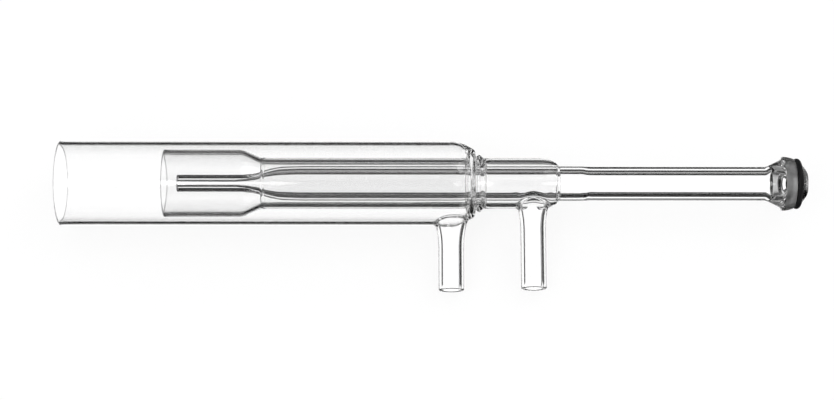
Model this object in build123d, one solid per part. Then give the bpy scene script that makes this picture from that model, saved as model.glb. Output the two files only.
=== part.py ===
from build123d import *
import math
import os

# A one-piece quartz torch: three tubes, one inside the other, fused together, with two gas arms
# and a ball end. The torch axis is X. X is 0 at the open mouth and grows towards the ball. Z is up.
# The torch lies on a flat surface, on its outer tube and on the tip of its longer arm.
# Sizes are in millimetres and angles in degrees.

# Outer tube
outer_od = 20.0
outer_wall = 0.85
outer_straight = 91.3
outer_drawn_in = 0.05
heat_margin = 0.6
shoulder_radius = 10.5
shoulder_arc_length = 5.3
shoulder_length = 6.3
shoulder_edge_fillet = 0.7
shoulder_pocket_lag = 0.95
shoulder_end_wall = 0.6

# Ring of glass where the shoulder is welded to the middle tube
weld_ring_width = 2.0
weld_ring_peak = 0.9
weld_ring_height = 0.97
weld_ring_fillet = 0.5
weld_notch_height = 0.1
weld_notch_fillet = 0.25
weld_foot_fillet = 0.8
seal_bead_width = 1.4
seal_bead_height = 0.25

# Middle tube: a wide mouth, a cone, then a narrow tube that leaves the shoulder as the collar
mouth_od = 15.9
mouth_wall = 0.85
mouth_set_back = 24.5
mouth_straight = 18.4
cone_length = 4.45
cone_top_fillet = 4.4
seam_fillet = 0.3
seam_inside_fillet = 5.0
seam_bead_width = 0.9
seam_bead_height = 0.1
narrow_od = 12.0
narrow_wall = 1.1
collar_straight = 13.0
collar_end_radius = 8.0
collar_arc_length = 3.3
collar_edge = 4.05
collar_end_length = 4.75
collar_edge_fillet = 0.8
collar_foot_fillet = 0.4
collar_end_wall = 0.75

# Sample tube: a thin injector tip, a flare, the full tube and the tail behind the collar
tip_od = 4.0
tip_bore = 1.2
tip_set_back = 27.5
tip_straight = 14.4
tip_flare_length = 12.5
bore_flare_lead = 0.9
bore_flare_length = 13.2
sample_od = 8.1
sample_bore = 5.4
tail_od = 7.9
tail_bore = 4.9
tail_weld_from_collar = 5.1
tail_weld_length = 2.3
tail_length = 48.55

# Ball end
ball_diameter = 12.7
ball_flare_length = 4.5
ball_edge_forward = 0.5
ball_neck_radius = 3.0
ball_back_width = 0.53
ball_back_height = 0.78
ball_hollow_diameter = 6.2
ball_hollow_length = 5.6
ball_hollow_taper = 1.3
ball_hollow_fillet = 1.2
lip_radius = 0.6
ring_forward = 3.3
ring_inside_diameter = 8.9
ring_cord = 1.5
groove_side_clearance = 0.05
ring_seat_clearance = 0.02

# Gas arms
arm_od = 6.0
arm_bore = 4.0
arm_reach = 25.5
collar_arm_shorter = 0.4
outer_arm_from_shoulder = 0.6
collar_arm_from_collar_end = 1.5
root_radius = 22.0
root_sink = 1.0
outer_arm_flare_end = 15.3
collar_arm_flare_end = 10.9

# Edges and pockets
cut_edge_fillet = 0.25
pocket_corner = 0.15
margin = 2.0

# Radii and places that follow from the sizes above
outer_r = outer_od / 2
outer_bore_r = outer_r - outer_wall
mouth_r = mouth_od / 2
mouth_bore_r = mouth_r - mouth_wall
narrow_r = narrow_od / 2
narrow_bore_r = narrow_r - narrow_wall
tip_r = tip_od / 2
tip_bore_r = tip_bore / 2
sample_r = sample_od / 2
sample_bore_r = sample_bore / 2
tail_r = tail_od / 2
tail_bore_r = tail_bore / 2
ball_r = ball_diameter / 2
arm_r = arm_od / 2
arm_bore_r = arm_bore / 2
outer_arm_reach = arm_reach
collar_arm_reach = arm_reach - collar_arm_shorter


def arc_fall(distance, radius):
    """How far an arc that starts straight has fallen away after a distance."""
    return radius - math.sqrt(radius**2 - distance**2)


def flare_curve(start, end_r, length):
    """An even S of two equal arcs from start to radius end_r, over a given length along the axis."""
    join = (start[0] + length / 2, (start[1] + end_r) / 2)
    first = TangentArc(start, join, tangent=(1, 0))
    second = TangentArc(join, (start[0] + length, end_r), tangent=first % 1)
    return [first, second]


def closing_curve(start, arc_radius, arc_length, edge_x, corners, radii):
    """A tube's rounded end: an arc from start, its tangent on to edge_x, then runs through the corners."""
    join = (start[0] + arc_length, start[1] - arc_fall(arc_length, arc_radius))
    slope = arc_length / math.sqrt(arc_radius**2 - arc_length**2)
    edge = (edge_x, join[1] - slope * (edge_x - join[0]))
    return [TangentArc(start, join, tangent=(1, 0)), FilletPolyline(join, edge, *corners, radius=radii)]


def pocket_curve(start, floor_r, end_x):
    """The closed end of a gas space: an arc down from start, then a corner at end_x on to floor_r."""
    run = end_x - pocket_corner - start[0]
    fall = start[1] - floor_r - pocket_corner
    arc_radius = (run**2 + fall**2 - pocket_corner**2) / (2 * (fall - pocket_corner))
    reach = arc_radius / (arc_radius - pocket_corner)
    centre_r = start[1] - arc_radius
    join = (start[0] + run * reach, centre_r + (floor_r + pocket_corner - centre_r) * reach)
    arc = TangentArc(start, join, tangent=(1, 0))
    corner = TangentArc(join, (start[0] + run, floor_r), tangent=arc % 1)
    return [arc, corner]


def neck_end(start, radius, target):
    """Where an arc that leaves start along the axis and curves outwards points straight at target."""
    centre_r = start[1] + radius
    distance = math.hypot(target[0] - start[0], target[1] - centre_r)
    angle = math.atan2(target[1] - centre_r, target[0] - start[0]) - math.acos(radius / distance)
    return (start[0] + radius * math.cos(angle), centre_r + radius * math.sin(angle))


def bead(start, width, height):
    """A low round bead along the axis from start; a negative height stands towards the axis."""
    top = (start[0] + width / 2, start[1] + height)
    return ThreePointArc(start, top, (start[0] + width, start[1]))


def cut_end(x, inner_r, outside_r):
    """The end face of a tube cut square at x, with its two edges melted round."""
    return FilletPolyline(
        (x + margin, inner_r), (x, inner_r), (x, outside_r), (x + margin, outside_r), radius=cut_edge_fillet
    )


def root_r_at(tube_r, flare_end):
    """Radius of an arm's widened root where it sinks into the tube that it stands on."""
    return arm_r + arc_fall(flare_end - tube_r + root_sink, root_radius)


# Places along the axis
shoulder_face = outer_straight + shoulder_length
collar_start = shoulder_face + weld_ring_width
collar_curve = collar_start + collar_straight
collar_end = collar_curve + collar_end_length
tail_weld = collar_end + tail_weld_from_collar
tail_end = collar_end + tail_length
ball_edge = tail_end + ball_flare_length
ball_centre = ball_edge - ball_edge_forward
ring_plane = ball_centre + ring_forward
outer_arm_x = outer_straight + outer_arm_from_shoulder
collar_arm_x = collar_curve - collar_arm_from_collar_end
plain_end = outer_arm_x - root_r_at(outer_r, outer_arm_flare_end) - heat_margin
cone_start = mouth_set_back + mouth_straight
cone_end = cone_start + cone_length
flare_start = tip_set_back + tip_straight
flare_end = flare_start + tip_flare_length
bore_flare_start = flare_start - bore_flare_lead


def ball_r_at(x):
    """Radius of the ball's surface at x."""
    return math.sqrt(ball_r**2 - (x - ball_centre) ** 2)


def ball_arc(first_x, last_x):
    """The ball's outline between two places along the axis."""
    middle = (first_x + last_x) / 2
    return ThreePointArc(
        (first_x, ball_r_at(first_x)), (middle, ball_r_at(middle)), (last_x, ball_r_at(last_x))
    )


def ball_outline():
    """From the end of the tail over the ball's edge, the groove and the dome to the bore in the lip."""
    ring_r = ring_inside_diameter / 2 - ring_seat_clearance
    half_groove = ring_cord / 2 + groove_side_clearance
    near = ring_plane - half_groove
    far = ring_plane + half_groove
    lip_x = ball_centre + math.sqrt((ball_r - lip_radius) ** 2 - (tail_bore_r + lip_radius) ** 2)
    dome_end = ball_centre + (lip_x - ball_centre) * ball_r / (ball_r - lip_radius)
    dome = ball_arc(far, dome_end)
    lip = TangentArc(dome @ 1, (lip_x, tail_bore_r), tangent=dome % 1)
    back = (ball_edge - ball_back_width, ball_r_at(ball_edge) - ball_back_height)
    neck = neck_end((tail_end, tail_r), ball_neck_radius, back)
    return [
        TangentArc((tail_end, tail_r), neck, tangent=(1, 0)),
        Polyline(neck, back, (ball_edge, ball_r_at(ball_edge))),
        ball_arc(ball_edge, near),
        Polyline((near, ball_r_at(near)), (near, ring_r), (far, ring_r), (far, ball_r_at(far))),
        dome,
        lip,
    ], lip_x


def outside_surface():
    """From the outer mouth over the shoulder, the collar and the tail to the lip of the ball."""
    shoulder = closing_curve(
        (outer_straight, outer_r - outer_drawn_in),
        shoulder_radius,
        shoulder_arc_length,
        shoulder_face,
        [
            (shoulder_face, narrow_r + weld_notch_height),
            (shoulder_face + weld_ring_peak, narrow_r + weld_ring_height),
            (collar_start, narrow_r),
            (collar_start + weld_foot_fillet, narrow_r),
        ],
        [shoulder_edge_fillet, weld_notch_fillet, weld_ring_fillet, weld_foot_fillet],
    )
    collar = closing_curve(
        (collar_curve, narrow_r),
        collar_end_radius,
        collar_arc_length,
        collar_curve + collar_edge,
        [(collar_end, sample_r), (collar_end + collar_foot_fillet, sample_r)],
        [collar_edge_fillet, collar_foot_fillet],
    )
    weld = flare_curve((tail_weld, sample_r), tail_r, tail_weld_length)
    ball, lip_x = ball_outline()
    lines = [
        Polyline((margin, outer_r), (plain_end, outer_r), shoulder[0] @ 0),
        Line((collar_start + weld_foot_fillet, narrow_r), (collar_curve, narrow_r)),
        Line((collar_end + collar_foot_fillet, sample_r), (tail_weld, sample_r)),
        Line((tail_weld + tail_weld_length, tail_r), (tail_end, tail_r)),
    ]
    return shoulder + collar + weld + ball + lines, lip_x


def sample_bore_surface(lip_x):
    """The bore from the lip of the ball, through the hollow ball and the tail, to the injector tip."""
    hollow_start = tail_end + ball_hollow_taper / 2
    hollow_end = hollow_start + ball_hollow_taper + ball_hollow_length
    hollow_r = ball_hollow_diameter / 2
    weld = flare_curve((tail_weld, sample_bore_r), tail_bore_r, tail_weld_length)
    flare = flare_curve((bore_flare_start, tip_bore_r), sample_bore_r, bore_flare_length)
    hollow = FilletPolyline(
        (tail_weld + tail_weld_length, tail_bore_r),
        (hollow_start, tail_bore_r),
        (hollow_start + ball_hollow_taper, hollow_r),
        (hollow_end - ball_hollow_taper, hollow_r),
        (hollow_end, tail_bore_r),
        (lip_x, tail_bore_r),
        radius=[ball_hollow_fillet, ball_hollow_fillet, ball_hollow_fillet, 0],
    )
    lines = [
        Line((tip_set_back + margin, tip_bore_r), (bore_flare_start, tip_bore_r)),
        Line((bore_flare_start + bore_flare_length, sample_bore_r), (tail_weld, sample_bore_r)),
    ]
    return weld + flare + [hollow] + lines


def middle_space_surface():
    """The gas space round the sample tube: its floor, its closed end and the middle tube's bore."""
    flare = flare_curve((flare_start, tip_r), sample_r, tip_flare_length)
    pocket = pocket_curve((collar_curve, narrow_bore_r), sample_r, collar_end - collar_end_wall)
    seal_start = shoulder_face - seal_bead_width / 2
    seal_end = shoulder_face + seal_bead_width / 2
    seal = bead((seal_start, narrow_bore_r), seal_bead_width, -seal_bead_height)
    bore = FilletPolyline(
        (mouth_set_back + margin, mouth_bore_r),
        (cone_start, mouth_bore_r),
        (cone_end, narrow_bore_r),
        (seal_start, narrow_bore_r),
        radius=[cone_top_fillet, seam_inside_fillet],
    )
    lines = [
        Line((tip_set_back + margin, tip_r), (flare_start, tip_r)),
        Line((flare_end, sample_r), pocket[1] @ 1),
        Line((seal_end, narrow_bore_r), (collar_curve, narrow_bore_r)),
    ]
    return flare + pocket + [seal, bore] + lines


def outer_space_surface():
    """The gas space round the middle tube: the tube's outside, the closed end and the outer tube's bore."""
    pocket_start = outer_straight + shoulder_pocket_lag
    pocket = pocket_curve((pocket_start, outer_bore_r), narrow_r, shoulder_face - shoulder_end_wall)
    bead_start = cone_end + seam_fillet
    cone = FilletPolyline(
        (mouth_set_back + margin, mouth_r),
        (cone_start, mouth_r),
        (cone_end, narrow_r),
        (bead_start, narrow_r),
        radius=[cone_top_fillet, seam_fillet],
    )
    seam = bead((bead_start, narrow_r), seam_bead_width, seam_bead_height)
    lines = [
        Line((bead_start + seam_bead_width, narrow_r), pocket[1] @ 1),
        Line((margin, outer_bore_r), (pocket_start, outer_bore_r)),
    ]
    return pocket + [cone, seam] + lines


def tube_ends():
    """The three square-cut ends: outer tube, middle tube and injector tip."""
    return [
        cut_end(0, outer_bore_r, outer_r),
        cut_end(mouth_set_back, mouth_bore_r, mouth_r),
        cut_end(tip_set_back, tip_bore_r, tip_r),
    ]


def tubes():
    """The three fused tubes and the ball, as one wall section turned round the axis."""
    outside, lip_x = outside_surface()
    inside = sample_bore_surface(lip_x) + middle_space_surface() + outer_space_surface()
    edges = [edge for curve in outside + inside + tube_ends() for edge in curve.edges()]
    return revolve(make_face(edges), Axis.X)


def resting_roll():
    """How far below level the arms point, with the outer tube and the longer arm on the surface."""
    reach = max(outer_arm_reach, collar_arm_reach)
    return math.degrees(math.asin(outer_r / math.hypot(reach, arm_r)) - math.atan2(arm_r, reach))


def turned_arm(x, outline):
    """A face drawn beside the arm's axis, turned round it and laid down from x on the torch axis."""
    arm = revolve(make_face(outline.edges()), Axis.Y)
    return Pos(x, 0, 0) * Rot(X=180 + resting_roll()) * arm


def arm_outline(side_r, root_t, flare_end, end_t, end_fillet):
    """Half of an arm's section: straight from flare_end to end_t, with a root that widens by an arc."""
    root_r = side_r + arc_fall(flare_end - root_t, root_radius)
    root = TangentArc((side_r, flare_end), (root_r, root_t), tangent=(0, -1))
    end = FilletPolyline((side_r, flare_end), (side_r, end_t), (0, end_t), radius=end_fillet)
    return Polyline((0, end_t), (0, 0), (root_r, 0), (root_r, root_t)) + root + end


def arm_glass(x, core, tube_r, flare_end, reach):
    """The outside of one arm, cut off at the core, which lies in the middle of the tube's wall."""
    return turned_arm(x, arm_outline(arm_r, tube_r - root_sink, flare_end, reach, cut_edge_fillet)) - core


def arm_hole(x, core, tube_r, flare_end, reach):
    """The bore of one arm, out past its tip and in to the core, which lies in the gas space."""
    outline = arm_outline(arm_bore_r, tube_r - root_sink, flare_end, reach + margin, margin / 2)
    return turned_arm(x, outline) - core


def rounded_rod(radius, straight_end, arc_radius):
    """A rod on the torch axis whose far end is rounded from straight_end on, as a tube's closed end is."""
    centre_r = radius - arc_radius
    tip = (straight_end + math.sqrt(arc_radius**2 - centre_r**2), 0)
    back = straight_end - 2 * outer_r
    sides = Polyline(tip, (back, 0), (back, radius), (straight_end, radius))
    end = TangentArc((straight_end, radius), tip, tangent=(1, 0))
    return revolve(make_face((sides + end).edges()), Axis.X)


def quartz_body():
    """All of the glass in one piece."""
    half_outer = outer_wall / 2
    half_narrow = narrow_wall / 2
    outer_wall_core = rounded_rod(outer_r - half_outer, outer_straight, shoulder_radius - half_outer)
    narrow_wall_core = rounded_rod(narrow_r - half_narrow, collar_curve, collar_end_radius - half_narrow)
    outer_gas_core = rounded_rod((outer_bore_r + narrow_r) / 2, shoulder_face, shoulder_radius)
    middle_gas_core = rounded_rod((narrow_bore_r + sample_r) / 2, collar_end, collar_end_radius)
    outer_arm = (outer_r, outer_arm_flare_end, outer_arm_reach)
    collar_arm = (narrow_r, collar_arm_flare_end, collar_arm_reach)
    body = tubes()
    body += arm_glass(outer_arm_x, outer_wall_core, *outer_arm)
    body += arm_glass(collar_arm_x, narrow_wall_core, *collar_arm)
    body -= arm_hole(outer_arm_x, outer_gas_core, *outer_arm)
    body -= arm_hole(collar_arm_x, middle_gas_core, *collar_arm)
    return body


def o_ring():
    """The rubber ring in the groove of the ball."""
    cord_r = ring_cord / 2
    return Pos(ring_plane, 0, 0) * Rot(Y=90) * Torus(ring_inside_diameter / 2 + cord_r, cord_r)


os.makedirs("parts", exist_ok=True)
export_step(quartz_body(), "parts/quartz_body.step")
export_step(o_ring(), "parts/o_ring.step")
print("arms at", round(outer_arm_x, 3), round(collar_arm_x, 3), "roll", round(resting_roll(), 3))
print("ball centre", round(ball_centre, 3), "O-ring at", round(ring_plane, 3))
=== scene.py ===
import math

import bmesh
import bpy
import numpy as np
from mathutils import Matrix, Vector


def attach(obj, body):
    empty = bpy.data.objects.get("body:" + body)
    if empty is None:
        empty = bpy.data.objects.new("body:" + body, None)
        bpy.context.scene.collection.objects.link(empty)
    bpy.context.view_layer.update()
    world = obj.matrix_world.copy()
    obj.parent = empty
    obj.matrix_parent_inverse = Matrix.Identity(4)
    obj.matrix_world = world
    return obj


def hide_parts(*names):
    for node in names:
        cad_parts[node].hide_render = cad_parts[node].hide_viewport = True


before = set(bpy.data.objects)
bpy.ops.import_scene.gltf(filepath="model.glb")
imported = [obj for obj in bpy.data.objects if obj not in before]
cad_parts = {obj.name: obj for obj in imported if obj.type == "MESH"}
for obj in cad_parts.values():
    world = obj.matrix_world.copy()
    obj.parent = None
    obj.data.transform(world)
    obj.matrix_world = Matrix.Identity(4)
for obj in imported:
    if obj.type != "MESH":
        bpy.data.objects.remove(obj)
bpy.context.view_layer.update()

# Sizes are in millimetres, as in the part's source, and meshes are written in metres.
MM = 0.001

# Outer tube
OUTER_R = 10.0
OUTER_BORE_R = 9.15
OUTER_STRAIGHT = 91.3
OUTER_DRAWN_IN = 0.05
HEAT_MARGIN = 0.6
SHOULDER_RADIUS = 10.5
SHOULDER_ARC_LENGTH = 5.3
SHOULDER_LENGTH = 6.3
SHOULDER_EDGE_FILLET = 0.7
SHOULDER_POCKET_LAG = 0.95
SHOULDER_END_WALL = 0.6

# Ring of glass where the shoulder is welded to the middle tube
WELD_RING_WIDTH = 2.0
WELD_RING_PEAK = 0.9
WELD_RING_HEIGHT = 0.97
WELD_RING_FILLET = 0.5
WELD_NOTCH_HEIGHT = 0.1
WELD_NOTCH_FILLET = 0.25
WELD_FOOT_FILLET = 0.8
SEAL_WIDTH = 1.4
SEAL_HEIGHT = 0.25

# Middle tube
MOUTH_R = 7.95
MOUTH_BORE_R = 7.1
MOUTH_X = 24.5
CONE_START = 42.9
CONE_END = 47.35
CONE_TOP_FILLET = 4.4
SEAM_FILLET = 0.3
SEAM_INSIDE_FILLET = 5.0
SEAM_BEAD_WIDTH = 0.6
SEAM_BEAD_HEIGHT = 0.12
NARROW_R = 6.0
NARROW_BORE_R = 4.9
COLLAR_STRAIGHT = 13.0
COLLAR_END_RADIUS = 8.0
COLLAR_ARC_LENGTH = 3.3
COLLAR_EDGE = 4.05
COLLAR_END_LENGTH = 4.75
COLLAR_EDGE_FILLET = 0.8
COLLAR_FOOT_FILLET = 0.4
COLLAR_END_WALL = 0.75
POCKET_CORNER = 0.15

# Sample tube
TIP_R = 2.0
TIP_BORE_R = 0.6
TIP_X = 27.5
FLARE_X = 41.9
FLARE_LENGTH = 12.5
BORE_FLARE_X = 41.0
BORE_FLARE_LENGTH = 13.2
SAMPLE_R = 4.05
SAMPLE_BORE_R = 2.7
TAIL_R = 3.95
TAIL_BORE_R = 2.45
TAIL_WELD_FROM_COLLAR = 5.1
TAIL_WELD_LENGTH = 2.3
TAIL_LENGTH = 47.95

# Ball end
BALL_R = 6.35
BALL_FLARE_LENGTH = 4.5
BALL_EDGE_FORWARD = -0.1
BALL_NECK_RADIUS = 3.0
BALL_BACK_WIDTH = 0.53
BALL_BACK_HEIGHT = 0.78
HOLLOW_R = 3.1
HOLLOW_LENGTH = 5.6
HOLLOW_TAPER = 1.3
HOLLOW_FILLET = 1.2
LIP_RADIUS = 0.35
RING_FORWARD = 3.3
RING_INSIDE_R = 4.45
RING_CORD = 1.5
GROOVE_SIDE = 0.05
GROOVE_SEAT = 0.02

# Arms
ARM_R = 3.0
ARM_BORE_R = 2.0
OUTER_ARM_REACH = 25.5
COLLAR_ARM_REACH = 25.1
OUTER_ARM_PAST_STRAIGHT = 0.6
COLLAR_ARM_BEFORE_CURVE = 1.5
OUTER_ROOT_HEIGHT = 5.3
COLLAR_ROOT_HEIGHT = 4.9
ROOT_RADIUS = 22.0
ROOT_SINK = 1.0
OUT_FILLET = 0.7
SIDE_FILLET = 1.1
IN_FILLET = 0.35

# Rounding of every cut edge, and how much further a rim's material goes
EDGE = 0.25
RIM_MARGIN = 0.01

# Moulding line of the rubber ring
FLASH_HEIGHT = 0.012

# Mesh fineness
AROUND = 168
TURN_LIMIT = math.radians(7.0)
LONG_STEP = 5.0
FINE_STEP = 0.4
DENSE = 0.02
NUDGE = 0.05
ALONG_ROWS = 6
BEND_ROWS = 8
ARM_ROWS = 14
EDGE_ROWS = 4
SETTLING_ROUNDS = 30
BEAD_STEPS = 24
CORD_STEPS = 40
RING_STEPS = 160


def arc_fall(distance, radius):
    """How far an arc that starts straight has fallen away after a distance."""
    return radius - math.sqrt(radius**2 - distance**2)


SHOULDER_FACE = OUTER_STRAIGHT + SHOULDER_LENGTH
COLLAR_START = SHOULDER_FACE + WELD_RING_WIDTH
COLLAR_CURVE = COLLAR_START + COLLAR_STRAIGHT
COLLAR_END = COLLAR_CURVE + COLLAR_END_LENGTH
TAIL_WELD = COLLAR_END + TAIL_WELD_FROM_COLLAR
TAIL_END = COLLAR_END + TAIL_LENGTH
BALL_EDGE = TAIL_END + BALL_FLARE_LENGTH
BALL_X = BALL_EDGE - BALL_EDGE_FORWARD
RING_X = BALL_X + RING_FORWARD

# Each arm: its place, the radius of the tube it stands on, where the flare of its root ends, and its reach.
# Then the window that the tubes' mesh leaves for it: half its columns, its rows, and how far it goes before and
# after the arm, outside and inside.
ARMS = {
    "outer": {
        "x": OUTER_STRAIGHT + OUTER_ARM_PAST_STRAIGHT,
        "tube_r": OUTER_R,
        "flare_end": OUTER_R + OUTER_ROOT_HEIGHT,
        "reach": OUTER_ARM_REACH,
        "half": 23,
        "nx": 28,
        "out": (5.2, 5.1),
        "in": (5.0, 4.1),
    },
    "collar": {
        "x": COLLAR_CURVE - COLLAR_ARM_BEFORE_CURVE,
        "tube_r": NARROW_R,
        "flare_end": NARROW_R + COLLAR_ROOT_HEIGHT,
        "reach": COLLAR_ARM_REACH,
        "half": 38,
        "nx": 26,
        "out": (4.9, 4.8),
        "in": (3.7, 3.5),
    },
}


def widened(spec, t, side_r):
    """Radius of an arm's side or bore at a distance t from the torch axis, wider towards the root."""
    ahead = np.clip(spec["flare_end"] - t, 0, spec["flare_end"] - spec["tube_r"] + ROOT_SINK)
    return float(side_r + arc_fall(ahead, ROOT_RADIUS))


PLAIN_END = ARMS["outer"]["x"] - widened(ARMS["outer"], 0, ARM_R) - HEAT_MARGIN


class Path:
    """A line in the half-plane of axis place and radius, drawn with straight runs and tangent arcs."""

    def __init__(self, x, r, heading=0.0):
        self.points = [(x, r)]
        self.heading = heading

    def line(self, x, r):
        x0, r0 = self.points[-1]
        n = max(1, int(math.hypot(x - x0, r - r0) / DENSE))
        self.points += [(x0 + (x - x0) * i / n, r0 + (r - r0) * i / n) for i in range(1, n + 1)]
        self.heading = math.atan2(r - r0, x - x0)
        return self

    def arc(self, x, r):
        x0, r0 = self.points[-1]
        chord = math.hypot(x - x0, r - r0)
        bend = math.atan2(r - r0, x - x0) - self.heading
        bend = math.atan2(math.sin(bend), math.cos(bend))
        radius = chord / (2 * math.sin(bend))
        n = max(8, int(abs(2 * bend * radius) / DENSE))
        for i in range(1, n + 1):
            turn = 2 * bend * i / n
            ahead = radius * math.sin(turn)
            aside = radius * (1 - math.cos(turn))
            self.points.append((
                x0 + ahead * math.cos(self.heading) - aside * math.sin(self.heading),
                r0 + ahead * math.sin(self.heading) + aside * math.cos(self.heading),
            ))
        self.heading += 2 * bend
        return self

    def corner(self, x, r, radius, x2, r2):
        """Straight on towards a corner at x, r, rounded by radius, then towards x2, r2."""
        x0, r0 = self.points[-1]
        first = math.atan2(r - r0, x - x0)
        second = math.atan2(r2 - r, x2 - x)
        turn = math.atan2(math.sin(second - first), math.cos(second - first))
        cut = radius * math.tan(abs(turn) / 2)
        self.line(x - cut * math.cos(first), r - cut * math.sin(first))
        return self.arc(x + cut * math.cos(second), r + cut * math.sin(second))


def flare(path, end_r, length, way=1):
    """An even S of two equal arcs over a given length."""
    x, r = path.points[-1]
    path.heading = 0.0 if way > 0 else math.pi
    return path.arc(x + way * length / 2, (r + end_r) / 2).arc(x + way * length, end_r)


def closing(path, arc_radius, arc_length, edge_x, corners, radii):
    """A tube's rounded end: an arc, its tangent on to edge_x, then runs through rounded corners."""
    x, r = path.points[-1]
    path.heading = 0.0
    path.arc(x + arc_length, r - arc_fall(arc_length, arc_radius))
    slope = arc_length / math.sqrt(arc_radius**2 - arc_length**2)
    edge = (edge_x, path.points[-1][1] - slope * (edge_x - path.points[-1][0]))
    stops = [edge, *corners]
    for stop, radius, after in zip(stops, radii, stops[1:]):
        path.corner(*stop, radius, *after)
    return path.line(*stops[-1])


def pocket_points(start_x, wall_r, floor_r, end_x):
    """Where the closed end of a gas space leaves its floor, and where its corner meets the wall's arc."""
    run = end_x - POCKET_CORNER - start_x
    fall = wall_r - floor_r - POCKET_CORNER
    arc_radius = (run**2 + fall**2 - POCKET_CORNER**2) / (2 * (fall - POCKET_CORNER))
    reach = arc_radius / (arc_radius - POCKET_CORNER)
    centre_r = wall_r - arc_radius
    return start_x + run, (start_x + run * reach, centre_r + (floor_r + POCKET_CORNER - centre_r) * reach)


def ball_r_at(x):
    return math.sqrt(BALL_R**2 - (x - BALL_X) ** 2)


def sphere(path, x_end):
    """Along the ball's surface to x_end."""
    x0 = path.points[-1][0]
    n = int(abs(x_end - x0) / DENSE)
    path.points += [(x, ball_r_at(x)) for x in np.linspace(x0, x_end, n)[1:]]
    path.heading = math.atan2(-(x_end - BALL_X), ball_r_at(x_end))
    return path


def outside_path():
    path = Path(0.0, OUTER_R - 2 * EDGE, math.pi / 2)
    path.corner(0.0, OUTER_R, EDGE, PLAIN_END, OUTER_R).line(PLAIN_END, OUTER_R)
    path.line(OUTER_STRAIGHT, OUTER_R - OUTER_DRAWN_IN)
    closing(path, SHOULDER_RADIUS, SHOULDER_ARC_LENGTH, SHOULDER_FACE, [
        (SHOULDER_FACE, NARROW_R + WELD_NOTCH_HEIGHT),
        (SHOULDER_FACE + WELD_RING_PEAK, NARROW_R + WELD_RING_HEIGHT),
        (COLLAR_START, NARROW_R),
        (COLLAR_CURVE, NARROW_R),
    ], [SHOULDER_EDGE_FILLET, WELD_NOTCH_FILLET, WELD_RING_FILLET, WELD_FOOT_FILLET])
    closing(path, COLLAR_END_RADIUS, COLLAR_ARC_LENGTH, COLLAR_CURVE + COLLAR_EDGE, [
        (COLLAR_END, SAMPLE_R),
        (TAIL_WELD, SAMPLE_R),
    ], [COLLAR_EDGE_FILLET, COLLAR_FOOT_FILLET])
    flare(path, TAIL_R, TAIL_WELD_LENGTH).line(TAIL_END, TAIL_R)
    edge_r = ball_r_at(BALL_EDGE)
    back = (BALL_EDGE - BALL_BACK_WIDTH, edge_r - BALL_BACK_HEIGHT)
    centre_r = TAIL_R + BALL_NECK_RADIUS
    angle = math.atan2(back[1] - centre_r, back[0] - TAIL_END)
    angle -= math.acos(BALL_NECK_RADIUS / math.hypot(back[1] - centre_r, back[0] - TAIL_END))
    path.arc(TAIL_END + BALL_NECK_RADIUS * math.cos(angle), centre_r + BALL_NECK_RADIUS * math.sin(angle))
    return path.line(*back).line(BALL_EDGE, edge_r)


def ground_path():
    near = RING_X - RING_CORD / 2 - GROOVE_SIDE
    return sphere(Path(BALL_EDGE, ball_r_at(BALL_EDGE)), near)


def groove_path():
    near = RING_X - RING_CORD / 2 - GROOVE_SIDE
    far = RING_X + RING_CORD / 2 + GROOVE_SIDE
    seat = RING_INSIDE_R - GROOVE_SEAT
    return Path(near, ball_r_at(near)).line(near, seat).line(far, seat).line(far, ball_r_at(far))


def lip_path():
    far = RING_X + RING_CORD / 2 + GROOVE_SIDE
    lip_x = BALL_X + math.sqrt((BALL_R - LIP_RADIUS) ** 2 - (TAIL_BORE_R + LIP_RADIUS) ** 2)
    dome_end = BALL_X + (lip_x - BALL_X) * BALL_R / (BALL_R - LIP_RADIUS)
    return sphere(Path(far, ball_r_at(far)), dome_end).arc(lip_x, TAIL_BORE_R)


def bore_path():
    start_x, start_r = lip_path().points[-1]
    hollow_start = TAIL_END + HOLLOW_TAPER / 2
    hollow_end = hollow_start + HOLLOW_TAPER + HOLLOW_LENGTH
    path = Path(start_x, start_r, math.pi)
    path.corner(hollow_end, TAIL_BORE_R, HOLLOW_FILLET, hollow_end - HOLLOW_TAPER, HOLLOW_R)
    path.corner(hollow_end - HOLLOW_TAPER, HOLLOW_R, HOLLOW_FILLET, hollow_start + HOLLOW_TAPER, HOLLOW_R)
    path.corner(hollow_start + HOLLOW_TAPER, HOLLOW_R, HOLLOW_FILLET, hollow_start, TAIL_BORE_R)
    path.corner(hollow_start, TAIL_BORE_R, HOLLOW_FILLET, TAIL_WELD, TAIL_BORE_R)
    path.line(TAIL_WELD + TAIL_WELD_LENGTH, TAIL_BORE_R)
    flare(path, SAMPLE_BORE_R, TAIL_WELD_LENGTH, -1).line(BORE_FLARE_X + BORE_FLARE_LENGTH, SAMPLE_BORE_R)
    flare(path, TIP_BORE_R, BORE_FLARE_LENGTH, -1)
    return path.corner(TIP_X, TIP_BORE_R, EDGE, TIP_X, TIP_R)


def middle_floor_path():
    """The outside of the injector and the sample tube, up to the closed end in the collar."""
    path = Path(*bore_path().points[-1], math.pi / 2)
    path.corner(TIP_X, TIP_R, EDGE, FLARE_X, TIP_R).line(FLARE_X, TIP_R)
    floor_x, join = pocket_points(COLLAR_CURVE, NARROW_BORE_R, SAMPLE_R, COLLAR_END - COLLAR_END_WALL)
    flare(path, SAMPLE_R, FLARE_LENGTH).line(floor_x, SAMPLE_R)
    return path.arc(*join)


def bead(path, x_start, x_end, r, height):
    """A low round bead on a tube; a negative height stands towards the axis."""
    for turn in np.linspace(0, math.pi, BEAD_STEPS)[1:]:
        share = (1 - math.cos(turn)) / 2
        path.points.append((x_start + (x_end - x_start) * share, r + height * math.sin(turn) ** 2))
    path.heading = math.atan2(0.0, x_end - x_start)
    return path


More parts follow.
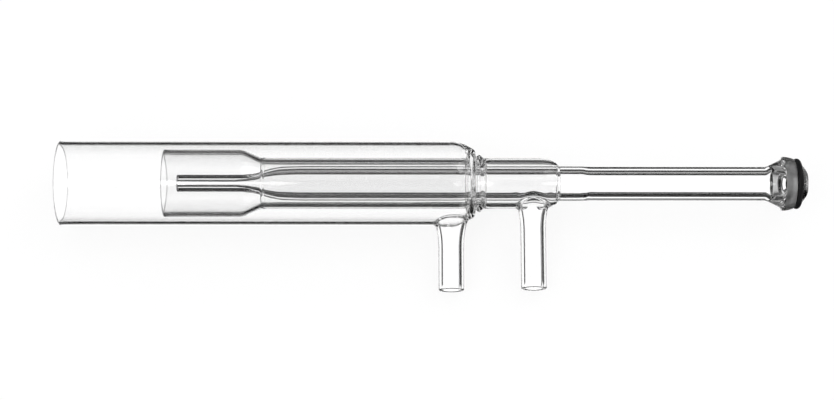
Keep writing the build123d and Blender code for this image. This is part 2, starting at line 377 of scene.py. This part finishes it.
def middle_wall_path():
    """The inside of the middle tube, from the closed end in the collar back to its wide mouth."""
    floor = middle_floor_path()
    path = Path(*floor.points[-1], floor.heading).arc(COLLAR_CURVE, NARROW_BORE_R)
    seal_end = SHOULDER_FACE + SEAL_WIDTH / 2
    path.line(seal_end, NARROW_BORE_R)
    bead(path, seal_end, seal_end - SEAL_WIDTH, NARROW_BORE_R, -SEAL_HEIGHT)
    path.corner(CONE_END, NARROW_BORE_R, SEAM_INSIDE_FILLET, CONE_START, MOUTH_BORE_R)
    path.corner(CONE_START, MOUTH_BORE_R, CONE_TOP_FILLET, MOUTH_X, MOUTH_BORE_R)
    return path.corner(MOUTH_X, MOUTH_BORE_R, EDGE, MOUTH_X, MOUTH_R)


def outer_floor_path():
    """The outside of the middle tube, up to the closed end in the shoulder."""
    path = Path(*middle_wall_path().points[-1], math.pi / 2)
    path.corner(MOUTH_X, MOUTH_R, EDGE, CONE_START, MOUTH_R)
    path.corner(CONE_START, MOUTH_R, CONE_TOP_FILLET, CONE_END, NARROW_R)
    path.corner(CONE_END, NARROW_R, SEAM_FILLET, SHOULDER_FACE, NARROW_R)
    bead_x = CONE_END + SEAM_FILLET
    path.line(bead_x, NARROW_R)
    bead(path, bead_x, bead_x + SEAM_BEAD_WIDTH, NARROW_R, SEAM_BEAD_HEIGHT)
    pocket_x = OUTER_STRAIGHT + SHOULDER_POCKET_LAG
    floor_x, join = pocket_points(pocket_x, OUTER_BORE_R, NARROW_R, SHOULDER_FACE - SHOULDER_END_WALL)
    return path.line(floor_x, NARROW_R).arc(*join)


def outer_wall_path():
    """The inside of the outer tube, back to its mouth."""
    floor = outer_floor_path()
    path = Path(*floor.points[-1], floor.heading).arc(OUTER_STRAIGHT + SHOULDER_POCKET_LAG, OUTER_BORE_R)
    path.corner(0.0, OUTER_BORE_R, EDGE, 0.0, OUTER_R)
    return path.line(0.0, OUTER_R - 2 * EDGE)


class Surface:
    """One stretch of the wall's outline, thinned for the mesh but exact between its points."""

    def __init__(self, path, fine=(), window=None):
        dense = np.array(path.points)
        self.dense = dense[np.r_[True, np.abs(np.diff(dense, axis=0)).sum(1) > 1e-9]]
        order = np.argsort(self.dense[:, 0], kind="stable")
        self.xs = self.dense[order, 0]
        self.rs = self.dense[order, 1]
        self.fine = fine
        self.window = window
        self.rows = self.thinned()

    def radius(self, x):
        return np.interp(x, self.xs, self.rs)

    def keep(self, points):
        """Points where the outline has turned enough or run on far enough."""
        kept = [0]
        turned = 0.0
        for i in range(1, len(points) - 1):
            before = points[i] - points[i - 1]
            after = points[i + 1] - points[i]
            turn = abs(math.atan2(before[0] * after[1] - before[1] * after[0], float(before @ after)))
            turned += turn
            gone = float(np.linalg.norm(points[i] - points[kept[-1]]))
            fine = any(a <= points[i][0] <= b for a, b in self.fine)
            if turned > TURN_LIMIT or gone > (FINE_STEP if fine else LONG_STEP):
                kept.append(i)
                turned = 0.0
        return points[kept + [len(points) - 1]]

    def thinned(self):
        if self.window is None:
            return self.keep(self.dense)
        low, high, count = self.window
        x = self.dense[:, 0]
        forward = x[-1] > x[0]
        inside = (x >= low) & (x <= high)
        first, last = np.flatnonzero(inside)[[0, -1]]
        xs = np.linspace(low, high, count + 1)
        if not forward:
            xs = xs[::-1]
        middle = np.column_stack([xs, self.radius(xs)])
        before = self.keep(np.vstack([self.dense[:first], middle[:1]]))
        after = self.keep(np.vstack([middle[-1:], self.dense[last + 1:]]))
        self.window_row = len(before) - 1
        return np.vstack([before, middle[1:-1], after])


# How the arms point: the torch lies on its outer tube and on the tip of the longer arm
ROLL = math.asin(OUTER_R / math.hypot(OUTER_ARM_REACH, ARM_R)) - math.atan2(ARM_R, OUTER_ARM_REACH)
ALONG = np.array([1.0, 0.0, 0.0])
OUT = np.array([0.0, -math.cos(ROLL), -math.sin(ROLL)])
ASIDE = np.cross(ALONG, OUT)


def smooth(low, high, value):
    """0 below low, 1 above high, and an S between."""
    share = np.clip((value - low) / (high - low), 0, 1)
    return share * share * (3 - 2 * share)


def bump(value, middle, width):
    """1 at the middle, falling to 0 over a width on either side."""
    return 1 - smooth(0, width, np.abs(value - middle))


def wave(angle, seed, count):
    """A periodic uneven wave round the axis, mostly between -1 and 1."""
    rng = np.random.default_rng(seed)
    total = 0
    for n in range(2, 2 + count):
        total = total + rng.normal() * np.cos(n * angle + rng.uniform(0, 2 * math.pi)) / math.sqrt(count)
    return total


# Welds that a hand has left uneven: the stretches of the outline that show each, its middle, how far it reaches to
# either side, its usual height, the seed and the number of its waves round the axis, and their twist along it
UNEVEN_WELDS = (
    (("outside",), SHOULDER_FACE + WELD_RING_PEAK, 1.1, 0.03, 1, 9, 0),
    (("outside", "middle_wall"), COLLAR_END - 0.6, 1.0, 0.02, 5, 7, 0),
    (("outside", "bore"), TAIL_WELD + TAIL_WELD_LENGTH / 2, 2.0, 0.015, 6, 5, 1),
    (("outer_floor",), CONE_END + SEAM_FILLET + SEAM_BEAD_WIDTH / 2, 0.6, 0.012, 8, 6, 0),
)


def uneven(zone, x, angle):
    """How far the hand-made welds stand off the drawn outline."""
    change = 0.0
    for zones, middle, reach, height, seed, waves, twist in UNEVEN_WELDS:
        if zone in zones:
            change = change + bump(x, middle, reach) * height * wave(angle + twist * x, seed, waves)
    return change


def window(arm, side):
    """First and last place and number of rows of the window for an arm, outside or inside."""
    spec = ARMS[arm]
    low, high = spec[side]
    return spec["x"] - low, spec["x"] + high, spec["nx"]


# Stretches where the mesh is finer along the torch
SEAL_ZONE = (SHOULDER_FACE - 0.3, COLLAR_START + 0.6)
SEAM_ZONE = (CONE_END - 0.3, CONE_END + 1.5)
COLLAR_ZONE = (COLLAR_END - 1.8, COLLAR_END + 0.6)
TAIL_ZONE = (TAIL_WELD - 1.5, TAIL_WELD + TAIL_WELD_LENGTH + 1.5)

# Where the outside is cut in two, because a stretch has room for one arm's window
OUTSIDE_CUT = COLLAR_START + 3


def body_surfaces():
    """The closed outline of the wall, in order, as named stretches."""
    outside = outside_path()
    split = np.array(outside.points)
    cut = int(np.argmin(np.abs(split[:, 0] - OUTSIDE_CUT) + np.abs(split[:, 1] - NARROW_R)))
    first, second = Path(0, 0), Path(0, 0)
    first.points, second.points = outside.points[:cut + 1], outside.points[cut:]
    return [
        ("outside", Surface(first, [SEAL_ZONE], window("outer", "out"))),
        ("outside", Surface(second, [COLLAR_ZONE, TAIL_ZONE], window("collar", "out"))),
        ("ground", Surface(ground_path(), [(BALL_EDGE, RING_X)])),
        ("groove", Surface(groove_path())),
        ("lip", Surface(lip_path(), [(RING_X, BALL_X + BALL_R)])),
        ("bore", Surface(bore_path(), [TAIL_ZONE])),
        ("middle_floor", Surface(middle_floor_path())),
        ("middle_wall", Surface(middle_wall_path(), [COLLAR_ZONE], window("collar", "in"))),
        ("outer_floor", Surface(outer_floor_path(), [SEAM_ZONE])),
        ("outer_wall", Surface(outer_wall_path(), [], window("outer", "in"))),
    ]


def arm_outside_r(spec, t):
    return widened(spec, t, ARM_R)


def arm_bore_r(spec, t):
    return widened(spec, t, ARM_BORE_R)


# Which of the glass's three materials a face takes
CLEAR, GROUND, CUT = 0, 1, 2


class Mesh:
    """Vertices and faces as they are gathered."""

    def __init__(self):
        self.points = []
        self.count = 0
        self.faces = []
        self.kinds = []

    def add(self, points):
        points = np.asarray(points, float)
        start = self.count
        self.points.append(points)
        self.count += len(points)
        return np.arange(start, self.count)

    def face(self, face, kind):
        self.faces.append([int(v) for v in face])
        self.kinds.append(kind)


def place(x, r, angle):
    """A point from its place along the torch axis, its radius and its angle from the arms' direction."""
    x, r, angle = np.broadcast_arrays(x, r, angle)
    return (
        x[..., None] * ALONG
        + (r * np.cos(angle))[..., None] * OUT
        + (r * np.sin(angle))[..., None] * ASIDE
    )


def arm_point(spec, rho, phi, t):
    """A point from its distance to the arm's axis, its angle round that axis and its height on it."""
    return (
        (spec["x"] + rho * math.cos(phi)) * ALONG
        + rho * math.sin(phi) * ASIDE
        + t * OUT
    )


def window_loop(grid, row, nx, half, forward):
    """The vertices round a window in a grid, always in the same order seen from outside."""
    a, b = row, row + nx
    near, far = (a, b) if forward else (b, a)
    step_x = 1 if far > near else -1
    ks = list(range(-half, half + 1))
    rows = list(range(near, far + step_x, step_x))
    loop = [(far, k) for k in ks[:-1]]
    loop += [(j, half) for j in reversed(rows[1:])]
    loop += [(near, k) for k in reversed(ks[1:])]
    loop += [(j, -half) for j in rows[:-1]]
    return [grid[j][k % AROUND] for j, k in loop]


def tube_height(surface, zone, spec, rho, phi):
    """Height of a tube's surface above the torch axis at a place beside the arm's axis."""
    x = spec["x"] + rho * math.cos(phi)
    aside = rho * math.sin(phi)
    r = float(surface.radius(x))
    angle = math.asin(max(-1.0, min(1.0, aside / r)))
    r += float(uneven(zone, x, angle))
    return math.sqrt(max(r * r - aside * aside, 0.0))


def saddle(surface, zone, spec, side_r, rho_edge, phi, fillet):
    """One line from a window's edge along the tube, round the weld and onto the arm."""
    t = spec["tube_r"]
    for _ in range(SETTLING_ROUNDS):
        t = tube_height(surface, zone, spec, side_r(spec, t), phi)
    rho_start = side_r(spec, t) + fillet
    line = []
    for i in range(1, ALONG_ROWS + 1):
        rho = rho_edge + (rho_start - rho_edge) * i / ALONG_ROWS
        line.append((rho, tube_height(surface, zone, spec, rho, phi)))
    start = line[-1]
    nearer = tube_height(surface, zone, spec, rho_start - NUDGE, phi)
    rise = (nearer - start[1]) / NUDGE
    turn_t = start[1] + rise * fillet
    end_t = max(t, turn_t) + fillet
    turn = (side_r(spec, turn_t), turn_t)
    end = (side_r(spec, end_t), end_t)
    for i in range(1, BEND_ROWS + 1):
        s = i / BEND_ROWS
        weights = ((1 - s) ** 2, 2 * s * (1 - s), s * s)
        line.append(tuple(sum(w * at[c] for w, at in zip(weights, (start, turn, end))) for c in (0, 1)))
    return line


def build_arm(mesh, spec, outer, inner):
    """Joins one arm to its window outside and inside. outer and inner are (surface, zone, loop)."""
    points = np.vstack(mesh.points)

    def polar(index):
        rel = points[index] - spec["x"] * ALONG
        along, aside = float(rel @ ALONG), float(rel @ ASIDE)
        return math.hypot(along, aside), math.atan2(aside, along)

    columns = len(outer[2])
    edge_out = [polar(v) for v in outer[2]]
    edge_in = [polar(v) for v in inner[2]]
    phi_out = np.unwrap([p for _, p in edge_out])
    phi_in = np.unwrap([p for _, p in edge_in])
    way = np.sign(phi_out[-1] - phi_out[0])
    middle = float(np.mean(phi_out) - way * math.pi * (columns - 1) / columns)
    even = middle + way * 2 * math.pi * np.arange(columns) / columns
    tip_t = spec["reach"] - EDGE
    lines_out = []
    lines_in = []
    for c in range(columns):
        rho_out, rho_in = edge_out[c][0], edge_in[c][0]
        fillet = OUT_FILLET + SIDE_FILLET * math.sin(phi_out[c]) ** 2
        lines_out.append(saddle(outer[0], outer[1], spec, arm_outside_r, rho_out, phi_out[c], fillet))
        lines_in.append(saddle(inner[0], inner[1], spec, arm_bore_r, rho_in, phi_in[c], IN_FILLET))

    def weld_row(lines, phis, i):
        return [arm_point(spec, lines[c][i][0], phis[c], lines[c][i][1]) for c in range(columns)]

    def side_row(lines, phis, side_r, share):
        """A share of the way from the weld to the tip, with the columns turned to be even at the tip."""
        row = []
        for c in range(columns):
            t0 = lines[c][-1][1]
            t = t0 + (tip_t - t0) * share
            phi = phis[c] + (even[c] - phis[c]) * smooth(0, 1, share)
            row.append(arm_point(spec, side_r(spec, t), phi, t))
        return row

    def tip_row(rho, turn):
        return [arm_point(spec, rho, even[c], tip_t + EDGE * math.sin(turn)) for c in range(columns)]

    weld_rows = ALONG_ROWS + BEND_ROWS
    steps = range(1, ARM_ROWS + 1)
    turns = np.linspace(0, math.pi / 2, EDGE_ROWS + 1)
    middle_r = (ARM_R + ARM_BORE_R) / 2
    rows = [weld_row(lines_out, phi_out, i) for i in range(weld_rows)]
    rows += [side_row(lines_out, phi_out, arm_outside_r, i / ARM_ROWS) for i in steps]
    rows += [tip_row(ARM_R - EDGE * (1 - math.cos(turn)), turn) for turn in turns[1:]]
    rows += [tip_row(middle_r, math.pi / 2)]
    rows += [tip_row(ARM_BORE_R + EDGE * (1 - math.cos(turn)), turn) for turn in turns[::-1]]
    rows += [side_row(lines_in, phi_in, arm_bore_r, 1 - i / ARM_ROWS) for i in steps]
    rows += [weld_row(lines_in, phi_in, i) for i in reversed(range(weld_rows - 1))]
    indices = [np.array(outer[2])]
    for row in rows:
        indices.append(mesh.add(row))
    indices.append(np.array(inner[2]))
    for low, high in zip(indices, indices[1:]):
        for c in range(columns):
            n = (c + 1) % columns
            mesh.face((low[c], low[n], high[n], high[c]), CLEAR)


def is_rim(x):
    """Whether a place is within the rounded edges of a tube's square-cut end."""
    return min(abs(x - end) for end in (0.0, MOUTH_X, TIP_X)) < EDGE + RIM_MARGIN


def glass_mesh():
    """The whole of the glass as one closed mesh: turned outline, with the arms let into it."""
    mesh = Mesh()
    surfaces = body_surfaces()
    angles = 2 * math.pi * np.arange(AROUND) / AROUND
    rings = []
    ring_kinds = []
    windows = {}
    total = sum(len(s.rows) - 1 for _, s in surfaces)
    row = 0
    holes = {}
    for zone, surface in surfaces:
        if surface.window is not None:
            arm = min(ARMS, key=lambda name: abs(sum(surface.window[:2]) / 2 - ARMS[name]["x"]))
            side = "out" if zone == "outside" else "in"
            windows[arm, side] = (surface, zone, row + surface.window_row)
        for (x, r), (next_x, _) in zip(surface.rows, surface.rows[1:]):
            rings.append((zone, x, r))
            if zone == "ground":
                ring_kinds.append(GROUND)
            else:
                ring_kinds.append(CUT if is_rim(x) and is_rim(next_x) else CLEAR)
        row += len(surface.rows) - 1
    grid = [mesh.add(place(x, r + uneven(zone, x, angles), angles)) for zone, x, r in rings]
    for arm, side in windows:
        spec = ARMS[arm]
        surface, zone, start = windows[arm, side]
        for j in range(start, start + spec["nx"]):
            holes.setdefault(j, set()).update(k % AROUND for k in range(-spec["half"], spec["half"]))
    for j in range(total):
        low, high = grid[j], grid[(j + 1) % total]
        for k in range(AROUND):
            if k in holes.get(j, ()):
                continue
            n = (k + 1) % AROUND
            mesh.face((low[k], low[n], high[n], high[k]), ring_kinds[j])
    for arm, spec in ARMS.items():
        sides = []
        for side in ("out", "in"):
            surface, zone, start = windows[arm, side]
            loop = window_loop(grid, start, spec["nx"], spec["half"], zone == "outside")
            sides.append((surface, zone, loop))
        build_arm(mesh, spec, *sides)
    return np.vstack(mesh.points), mesh.faces, mesh.kinds


SHARP_ANGLE = math.radians(35.0)


def make_object(name, points, faces, kinds, materials):
    """A smooth-shaded mesh object, in metres, with its outward side found again."""
    data = bpy.data.meshes.new(name)
    data.from_pydata([tuple(p * MM) for p in points], [], faces)
    for material in materials:
        data.materials.append(material)
    data.polygons.foreach_set("material_index", kinds)
    bm = bmesh.new()
    bm.from_mesh(data)
    bmesh.ops.recalc_face_normals(bm, faces=bm.faces)
    bm.to_mesh(data)
    bm.free()
    data.polygons.foreach_set("use_smooth", [True] * len(data.polygons))
    data.set_sharp_from_angle(angle=SHARP_ANGLE)
    data.update()
    obj = bpy.data.objects.new(name, data)
    bpy.context.scene.collection.objects.link(obj)
    return obj


def new_material(name):
    material = bpy.data.materials.new(name)
    material.use_nodes = True
    nodes = material.node_tree.nodes
    shader = next(n for n in nodes if n.type == "BSDF_PRINCIPLED")
    return material, nodes, material.node_tree.links, shader


QUARTZ_IOR = 1.458


def glass_material(name):
    """Clear fused quartz."""
    material, _, _, shader = new_material(name)
    shader.inputs["Base Color"].default_value = (1.0, 1.0, 1.0, 1.0)
    shader.inputs["Transmission Weight"].default_value = 1.0
    shader.inputs["IOR"].default_value = QUARTZ_IOR
    shader.inputs["Roughness"].default_value = 0.0
    return material


def ground_material(name, darkest, palest):
    """Glass ground dull, with its tone and gloss a little uneven."""
    material, nodes, links, shader = new_material(name)
    shader.inputs["Transmission Weight"].default_value = 1.0
    shader.inputs["IOR"].default_value = QUARTZ_IOR
    place_node = nodes.new("ShaderNodeTexCoord")
    noise = nodes.new("ShaderNodeTexNoise")
    noise.inputs["Scale"].default_value = 4000.0
    noise.inputs["Detail"].default_value = 4.0
    spread = nodes.new("ShaderNodeMapRange")
    spread.inputs["To Min"].default_value = 0.35
    spread.inputs["To Max"].default_value = 0.6
    tone = nodes.new("ShaderNodeMapRange")
    tone.inputs["To Min"].default_value = darkest
    tone.inputs["To Max"].default_value = palest
    push = nodes.new("ShaderNodeBump")
    push.inputs["Strength"].default_value = 0.5
    push.inputs["Distance"].default_value = 0.00003
    links.new(place_node.outputs["Object"], noise.inputs["Vector"])
    links.new(noise.outputs["Fac"], spread.inputs["Value"])
    links.new(noise.outputs["Fac"], tone.inputs["Value"])
    links.new(noise.outputs["Fac"], push.inputs["Height"])
    links.new(spread.outputs["Result"], shader.inputs["Roughness"])
    links.new(tone.outputs["Result"], shader.inputs["Base Color"])
    links.new(push.outputs["Normal"], shader.inputs["Normal"])
    return material


def rubber_material():
    """Black rubber with a fine matt skin and a little dust in its colour."""
    material, nodes, links, shader = new_material("ring_rubber")
    place_node = nodes.new("ShaderNodeTexCoord")
    noise = nodes.new("ShaderNodeTexNoise")
    noise.inputs["Scale"].default_value = 1500.0
    noise.inputs["Detail"].default_value = 5.0
    tone = nodes.new("ShaderNodeValToRGB")
    tone.color_ramp.elements[0].color = (0.003, 0.003, 0.0035, 1)
    tone.color_ramp.elements[1].color = (0.009, 0.009, 0.01, 1)
    shader.inputs["Specular IOR Level"].default_value = 0.2
    gloss = nodes.new("ShaderNodeMapRange")
    gloss.inputs["To Min"].default_value = 0.38
    gloss.inputs["To Max"].default_value = 0.6
    push = nodes.new("ShaderNodeBump")
    push.inputs["Strength"].default_value = 0.3
    push.inputs["Distance"].default_value = 0.00002
    links.new(place_node.outputs["Object"], noise.inputs["Vector"])
    links.new(noise.outputs["Fac"], tone.inputs["Fac"])
    links.new(noise.outputs["Fac"], gloss.inputs["Value"])
    links.new(noise.outputs["Fac"], push.inputs["Height"])
    links.new(tone.outputs["Color"], shader.inputs["Base Color"])
    links.new(gloss.outputs["Result"], shader.inputs["Roughness"])
    links.new(push.outputs["Normal"], shader.inputs["Normal"])
    return material


def ring_mesh():
    """The O-ring, with the thin moulding line that such rings have on the outside."""
    cord_r = RING_CORD / 2
    centre_r = RING_INSIDE_R + cord_r
    points = []
    for i in range(RING_STEPS):
        turn = 2 * math.pi * i / RING_STEPS
        for j in range(CORD_STEPS):
            round_cord = 2 * math.pi * j / CORD_STEPS
            r = cord_r + (FLASH_HEIGHT if j == 0 else 0.0)
            x = RING_X + r * math.sin(round_cord)
            radius = centre_r + r * math.cos(round_cord)
            points.append(place(x, radius, turn))
    faces = []
    for i in range(RING_STEPS):
        for j in range(CORD_STEPS):
            a = i * CORD_STEPS
            b = (i + 1) % RING_STEPS * CORD_STEPS
            n = (j + 1) % CORD_STEPS
            faces.append((a + j, b + j, b + n, a + n))
    return np.array(points), faces


# Camera: the photograph's, 834 pixels wide, with the torch's axis level
PHOTO_WIDTH = 834
PHOTO_FOCAL = 1850.0
PHOTO_SCALE = 4.246
PHOTO_MOUTH = 60.7
PHOTO_AXIS = 183.45
PHOTO_LEAN = 0.0009
PHOTO_FOOT = 410.0
PHOTO_MIDDLE = 200.0
SENSOR = 36.0
ELEVATION = math.radians(61.5)
AHEAD = np.array([0.0, math.cos(ELEVATION), -math.sin(ELEVATION)])
UPWARD = np.array([0.0, math.sin(ELEVATION), math.cos(ELEVATION)])


def make_camera():
    data = bpy.data.cameras.new("camera")
    data.sensor_width = SENSOR
    data.lens = PHOTO_FOCAL / PHOTO_WIDTH * SENSOR
    data.shift_x = (PHOTO_WIDTH / 2 - PHOTO_FOOT) / PHOTO_WIDTH
    data.clip_start = 0.01
    camera = bpy.data.objects.new("camera", data)
    bpy.context.scene.collection.objects.link(camera)
    foot_x = (PHOTO_FOOT - PHOTO_MOUTH) / PHOTO_SCALE
    away = PHOTO_FOCAL / PHOTO_SCALE
    drop = (PHOTO_MIDDLE - PHOTO_AXIS) / PHOTO_SCALE
    spot = foot_x * ALONG - away * AHEAD - drop * UPWARD
    turn = Matrix((ALONG, UPWARD, -AHEAD)).transposed().to_4x4() @ Matrix.Rotation(PHOTO_LEAN, 4, "Z")
    camera.matrix_world = Matrix.Translation(Vector(spot * MM)) @ turn
    bpy.context.scene.camera = camera


def math_node(nodes, links, operation, *values):
    """A math node fed by numbers or by other nodes' outputs."""
    node = nodes.new("ShaderNodeMath")
    node.operation = operation
    for socket, value in zip(node.inputs, values):
        if isinstance(value, (int, float)):
            socket.default_value = value
        else:
            links.new(value, socket)
    return node.outputs[0]


def dot_node(nodes, links, vector, direction):
    node = nodes.new("ShaderNodeVectorMath")
    node.operation = "DOT_PRODUCT"
    links.new(vector, node.inputs[0])
    node.inputs[1].default_value = tuple(direction)
    return node.outputs["Value"]


def band_node(nodes, links, value, low, high, soft):
    """1 between two values, falling off over soft."""
    parts = []
    for edge, way in ((low, 1), (high, -1)):
        node = nodes.new("ShaderNodeMapRange")
        node.interpolation_type = "SMOOTHSTEP"
        links.new(value, node.inputs["Value"])
        node.inputs["From Min"].default_value = edge - soft / 2
        node.inputs["From Max"].default_value = edge + soft / 2
        node.inputs["To Min"].default_value = 0.0 if way > 0 else 1.0
        node.inputs["To Max"].default_value = 1.0 if way > 0 else 0.0
        parts.append(node.outputs["Result"])
    return math_node(nodes, links, "MULTIPLY", *parts)


def seen_through_glass(nodes, links, rays):
    """1 for a ray that glass or a gloss has sent on."""
    glossy, sent_on = (rays.outputs[name] for name in ("Is Glossy Ray", "Is Transmission Ray"))
    return math_node(nodes, links, "MAXIMUM", glossy, sent_on)


# Studio light that the glass shows. Directions are given by their part along the torch and their turn about its
# axis, from straight down (0) towards +Y (90 degrees), because a tube bends light about its own axis only.
VIEW_TURN = 90.0 - math.degrees(ELEVATION)
DARK_LEVEL = 0.008
SOFT_LEVEL = 0.9
ROOF_LEVEL = 0.3
# Each panel: least and greatest turn, least and greatest part along the torch, level, softness of its edges
PANELS = (
    (VIEW_TURN - 21.5, VIEW_TURN + 21.5, -0.64, 0.45, 1.16, 4.0),
    (VIEW_TURN + 120.0, VIEW_TURN + 140.0, -0.60, 0.60, 0.40, 4.0),
    (VIEW_TURN - 140.0, VIEW_TURN - 120.0, -0.60, 0.60, 0.40, 4.0),
    (79.0, 96.0, -0.42, 0.42, 0.40, 5.0),
    (46.0, 84.0, -0.93, -0.47, 1.30, 4.0),
    (-96.0, -44.0, 0.47, 0.93, 1.30, 4.0),
    (46.0, 96.0, 0.47, 0.93, 1.00, 4.0),
    (-96.0, -44.0, -0.93, -0.47, 1.00, 4.0),
)
# Light from beyond the torch's two ends, and from a round patch straight above
AXIAL_PART = 0.93
ALONG_SOFT = 0.04
ROOF_ANGLE = math.radians(13.0)
ROOF_SOFT = 0.01


def make_world():
    """White to the camera; the glass sees bright panels, dark between."""
    world = bpy.data.worlds.new("studio")
    bpy.context.scene.world = world
    world.use_nodes = True
    nodes, links = world.node_tree.nodes, world.node_tree.links
    nodes.clear()
    way = nodes.new("ShaderNodeTexCoord").outputs["Generated"]
    along = dot_node(nodes, links, way, ALONG)
    down = dot_node(nodes, links, way, (0, 0, -1))
    beyond = dot_node(nodes, links, way, (0, 1, 0))
    turn = math_node(nodes, links, "ARCTAN2", beyond, down)
    turn = math_node(nodes, links, "DEGREES", turn)
    total = DARK_LEVEL
    for low, high, along_low, along_high, level, soft in PANELS:
        across = band_node(nodes, links, turn, low, high, soft)
        beside = band_node(nodes, links, along, along_low, along_high, ALONG_SOFT)
        panel = math_node(nodes, links, "MULTIPLY", across, beside)
        panel = math_node(nodes, links, "MULTIPLY", panel, level)
        total = math_node(nodes, links, "MAXIMUM", panel, total)
    end = band_node(nodes, links, math_node(nodes, links, "ABSOLUTE", along), AXIAL_PART, 2.0, ALONG_SOFT)
    total = math_node(nodes, links, "MAXIMUM", end, total)
    roof = band_node(nodes, links, down, -2.0, -math.cos(ROOF_ANGLE), ROOF_SOFT)
    roof = math_node(nodes, links, "MULTIPLY", roof, ROOF_LEVEL)
    total = math_node(nodes, links, "MAXIMUM", roof, total)
    rays = nodes.new("ShaderNodeLightPath")
    seen = seen_through_glass(nodes, links, rays)
    glass_view = nodes.new("ShaderNodeBackground")
    links.new(total, glass_view.inputs["Strength"])
    soft_light = nodes.new("ShaderNodeBackground")
    soft_light.inputs["Strength"].default_value = SOFT_LEVEL
    white = nodes.new("ShaderNodeBackground")
    white.inputs["Strength"].default_value = 1.0
    for background in (glass_view, soft_light, white):
        background.inputs["Color"].default_value = (1, 1, 1, 1)
    first = nodes.new("ShaderNodeMixShader")
    links.new(seen, first.inputs["Fac"])
    links.new(soft_light.outputs[0], first.inputs[1])
    links.new(glass_view.outputs[0], first.inputs[2])
    second = nodes.new("ShaderNodeMixShader")
    links.new(rays.outputs["Is Camera Ray"], second.inputs["Fac"])
    links.new(first.outputs[0], second.inputs[1])
    links.new(white.outputs[0], second.inputs[2])
    out = nodes.new("ShaderNodeOutputWorld")
    links.new(second.outputs[0], out.inputs["Surface"])


FLOOR_TONE = 0.9
FLOOR_SHADOW = 0.1
FLOOR_HALF = 4.0


def make_floor():
    """A wide pale floor: white to the camera with a faint shadow, and clear to what the glass shows."""
    material, nodes, links, shader = new_material("floor")
    nodes.remove(shader)
    diffuse = nodes.new("ShaderNodeBsdfDiffuse")
    diffuse.inputs["Color"].default_value = (FLOOR_TONE, FLOOR_TONE, FLOOR_TONE, 1)
    glow = nodes.new("ShaderNodeEmission")
    glow.inputs["Strength"].default_value = 1.0
    clear = nodes.new("ShaderNodeBsdfTransparent")
    rays = nodes.new("ShaderNodeLightPath")
    white = nodes.new("ShaderNodeMixShader")
    white.inputs["Fac"].default_value = FLOOR_SHADOW
    links.new(glow.outputs[0], white.inputs[1])
    links.new(diffuse.outputs[0], white.inputs[2])
    by_camera = nodes.new("ShaderNodeMixShader")
    links.new(rays.outputs["Is Camera Ray"], by_camera.inputs["Fac"])
    links.new(diffuse.outputs[0], by_camera.inputs[1])
    links.new(white.outputs[0], by_camera.inputs[2])
    seen = seen_through_glass(nodes, links, rays)
    by_glass = nodes.new("ShaderNodeMixShader")
    links.new(seen, by_glass.inputs["Fac"])
    links.new(by_camera.outputs[0], by_glass.inputs[1])
    links.new(clear.outputs[0], by_glass.inputs[2])
    out = next(n for n in nodes if n.type == "OUTPUT_MATERIAL")
    links.new(by_glass.outputs[0], out.inputs["Surface"])
    z = -OUTER_R * MM
    corners = [(FLOOR_HALF * x, FLOOR_HALF * y, z) for x, y in ((-1, -1), (1, -1), (1, 1), (-1, 1))]
    data = bpy.data.meshes.new("floor")
    data.from_pydata(corners, [], [(0, 1, 2, 3)])
    data.materials.append(material)
    floor = bpy.data.objects.new("floor", data)
    bpy.context.scene.collection.objects.link(floor)


LAMP_AIM = (0.09, 0.0, 0.0)
LAMP_SIZE = 0.5


def make_lamp(name, spot, power):
    data = bpy.data.lights.new(name, "AREA")
    data.shape = "SQUARE"
    data.size = LAMP_SIZE
    data.energy = power
    lamp = bpy.data.objects.new(name, data)
    lamp.location = spot
    aim = Vector(LAMP_AIM) - Vector(spot)
    lamp.rotation_euler = aim.to_track_quat("-Z", "Y").to_euler()
    bpy.context.scene.collection.objects.link(lamp)


# Light passes up to a dozen walls of glass, so the rays may go on for long
MOST_BOUNCES = 48

make_camera()
make_world()
make_floor()
make_lamp("key_light", (-0.35, -0.45, 0.8), 3.0)
make_lamp("fill_light", (0.6, 0.3, 0.7), 1.5)

points, faces, kinds = glass_mesh()
clear_quartz = glass_material("clear_quartz")
ball_seat = ground_material("ground_quartz", darkest=0.28, palest=0.42)
cut_ends = ground_material("cut_quartz", darkest=0.80, palest=0.95)
glass = make_object("blown_quartz", points, faces, kinds, [clear_quartz, ball_seat, cut_ends])
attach(glass, "root")
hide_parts("quartz_body")

ring_points, ring_faces = ring_mesh()
ring = make_object("rubber_ring", ring_points, ring_faces, [0] * len(ring_faces), [rubber_material()])
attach(ring, "root")
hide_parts("o_ring")

scene = bpy.context.scene
scene.view_settings.view_transform = "Standard"
scene.cycles.max_bounces = MOST_BOUNCES
scene.cycles.transmission_bounces = MOST_BOUNCES
scene.cycles.transparent_max_bounces = MOST_BOUNCES
scene.cycles.glossy_bounces = MOST_BOUNCES // 2

print("glass", len(points), "vertices", sum(len(f) - 2 for f in faces), "triangles")
